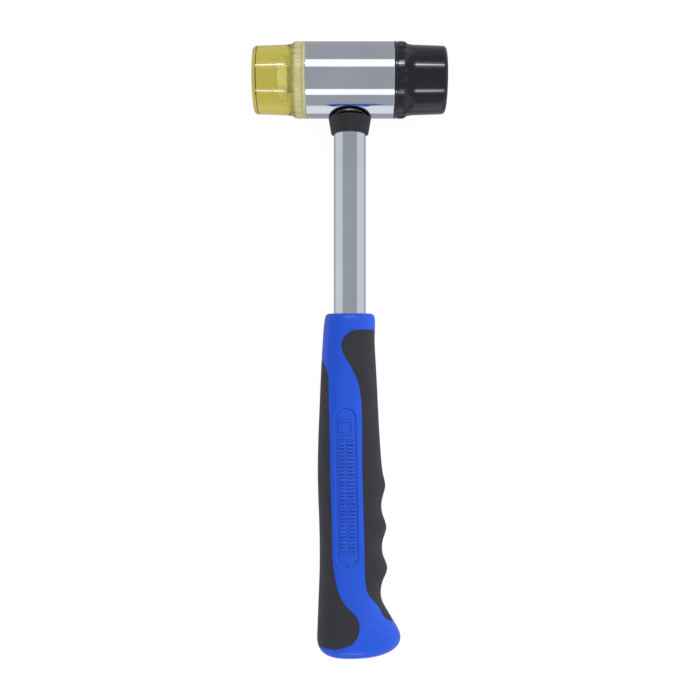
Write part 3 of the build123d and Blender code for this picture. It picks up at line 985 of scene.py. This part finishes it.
def brightness_ramp(tree, angle, stops):
    """Brightness by angle in radians: one ramp for each side of straight up."""
    share = add_node(
        tree, "ShaderNodeMapRange",
        {"Value": angle, "From Min": -math.pi, "From Max": math.pi, "To Min": -1.0, "To Max": 1.0},
    ).outputs["Result"]
    halves = []
    for sign in (-1, 1):
        own = [(abs(a) / 180, b) for a, b in stops if a * sign > 0 or a == 0]
        own = sorted(own)
        out = add_node(tree, "ShaderNodeMath", {0: share, 1: float(sign)}, operation="MULTIPLY")
        ramp = add_node(tree, "ShaderNodeValToRGB", {"Fac": out.outputs[0]})
        elements = ramp.color_ramp.elements
        for n, (place, brightness) in enumerate(own):
            element = elements[n] if n < 2 else elements.new(place)
            element.position = place
            element.color = (brightness, brightness, brightness, 1.0)
        halves.append(ramp.outputs["Color"])
    side = add_node(tree, "ShaderNodeMath", {0: share, 1: 0.0}, operation="GREATER_THAN")
    mixed = add_node(tree, "ShaderNodeMix", {"Factor": side.outputs[0]}, data_type="RGBA")
    tree.links.new(halves[0], mixed.inputs[6])
    tree.links.new(halves[1], mixed.inputs[7])
    return mixed.outputs[2]


def make_world():
    """Studio light: soft boxes in grey for mirrored rays, and plainer light for the others."""
    world = bpy.data.worlds.new("studio")
    bpy.context.scene.world = world
    world.use_nodes = True
    tree = world.node_tree
    background = tree.nodes["Background"]
    direction = add_node(tree, "ShaderNodeTexCoord").outputs["Generated"]
    parts = add_node(tree, "ShaderNodeSeparateXYZ", {"Vector": direction}).outputs

    def math_of(operation, *values):
        return add_node(
            tree, "ShaderNodeMath", dict(enumerate(values)), operation=operation
        ).outputs[0]

    towards_y = math_of("ARCTAN2", parts["Y"], parts["Z"])
    towards_x = math_of("ARCTAN2", parts["X"], parts["Z"])
    head = brightness_ramp(tree, towards_y, box_stops(BOXES_ACROSS_HEAD))
    handle = brightness_ramp(tree, towards_x, box_stops(BOXES_ACROSS_HANDLE))
    sideways = add_node(
        tree, "ShaderNodeMapRange",
        {"Value": math_of("ABSOLUTE", parts["X"]), "From Min": HEAD_SHARE,
         "From Max": HANDLE_SHARE},
        interpolation_type="SMOOTHSTEP",
    ).outputs["Result"]
    room = add_node(tree, "ShaderNodeMix", {"Factor": sideways}, data_type="RGBA")
    tree.links.new(head, room.inputs[6])
    tree.links.new(handle, room.inputs[7])
    ray = add_node(tree, "ShaderNodeLightPath").outputs
    slope = add_node(
        tree, "ShaderNodeMapRange",
        {"Value": parts["X"], "From Min": -1.0, "From Max": 1.0,
         "To Min": 1.0 - SIDE_LIGHT, "To Max": 1.0 + SIDE_LIGHT},
    ).outputs["Result"]
    cool = add_node(
        tree, "ShaderNodeCombineXYZ", {"X": slope, "Y": slope, "Z": math_of("MULTIPLY", slope, SOFT_BLUE)}
    ).outputs[0]
    through = math_of("MULTIPLY", ray["Is Transmission Ray"], THROUGH_SHARE)
    inside = add_node(tree, "ShaderNodeMix", {"Factor": through}, data_type="RGBA")
    tree.links.new(room.outputs[2], inside.inputs[6])
    inside.inputs[7].default_value = THROUGH_LIGHT
    even = add_node(tree, "ShaderNodeMix", {"Factor": ray["Is Diffuse Ray"]}, data_type="RGBA")
    tree.links.new(inside.outputs[2], even.inputs[6])
    tree.links.new(cool, even.inputs[7])
    seen = add_node(tree, "ShaderNodeMix", {"Factor": ray["Is Camera Ray"]}, data_type="RGBA")
    tree.links.new(even.outputs[2], seen.inputs[6])
    seen.inputs[7].default_value = (1.0, 1.0, 1.0, 1.0)
    tree.links.new(seen.outputs[2], background.inputs["Color"])


def make_floor():
    """Plain white table: mostly glow, so nearly white, with a faint contact shadow. Not mirrored."""
    half = 6000.0
    corners = [(-half, -half, 0), (half, -half, 0), (half, half, 0), (-half, half, 0)]
    floor = to_mesh("floor", corners, [(0, 1, 2, 3)])
    made = bpy.data.materials.new("floor_white")
    made.use_nodes = True
    tree = made.node_tree
    tree.nodes.clear()
    lit = add_node(tree, "ShaderNodeBsdfDiffuse", {"Color": FLOOR_COLOUR})
    glow = add_node(tree, "ShaderNodeEmission", {"Strength": FLOOR_GLOW})
    both = add_node(tree, "ShaderNodeAddShader", {0: lit.outputs[0], 1: glow.outputs[0]})
    add_node(tree, "ShaderNodeOutputMaterial", {"Surface": both.outputs[0]})
    floor.data.materials.append(made)
    floor.visible_glossy = False


def make_camera():
    """Camera straight above the middle of the mallet, with the head at the top of the picture."""
    lens = bpy.data.cameras.new("camera")
    lens.sensor_width = SENSOR
    lens.lens = CAMERA_LENS
    lens.clip_start = 0.01
    camera = bpy.data.objects.new("camera", lens)
    camera.location = (0.1 * MM, -1.15 * MM, (AXIS_Z + CAMERA_HEIGHT) * MM)
    bpy.context.scene.collection.objects.link(camera)
    bpy.context.scene.camera = camera


# ---- the mallet ----------------------------------------------------------------------------
def build():
    """All pieces, each riding on its CAD body."""
    materials = make_materials()
    dress(make_sleeve(), materials, "chromed_steel", "root", "head_sleeve")
    dress(make_tube(), materials, "chromed_steel", "root", "shaft_tube")
    dress(make_boot(), materials, "boot_rubber", "root", "neck_boot")
    tips = (
        (-1, "yellow", "left", "yellow_plastic"),
        (1, "black", "right", "black_rubber"),
    )
    for side, colour, place, slot in tips:
        body = f"{colour}_tip"
        face = make_face(side, f"{colour}_striking_face")
        dress(face, materials, slot, body, f"{colour}_face")
        bolt = make_bolt(side, f"{place}_bolt")
        dress(bolt, materials, "zinc_steel", body, f"{place}_face_bolt")
    grip = Grip()
    dress(grip.make_core("blue_core"), materials, "blue_plastic", "root", "grip_core")
    front = grip.make_pad(grip.front, "front_pad")
    dress(front, materials, "grey_rubber", "root", "grip_front_pad")
    rear = grip.make_pad(grip.rear, "rear_pad")
    dress(rear, materials, "grey_rubber", "root", "grip_rear_pad")
    kept = {
        "left_end_plug": "zinc_steel",
        "right_end_plug": "zinc_steel",
        "left_lock_washer": "zinc_steel",
        "right_lock_washer": "zinc_steel",
        "shot_charge": "steel_shot",
        "shaft_weld": "weld",
        "tube_end_plug": "plug_plastic",
    }
    for name, slot in kept.items():
        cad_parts[name].material_slots[0].material = materials[slot]


bpy.context.scene.view_settings.view_transform = "Standard"
make_camera()
make_world()
make_floor()
build()
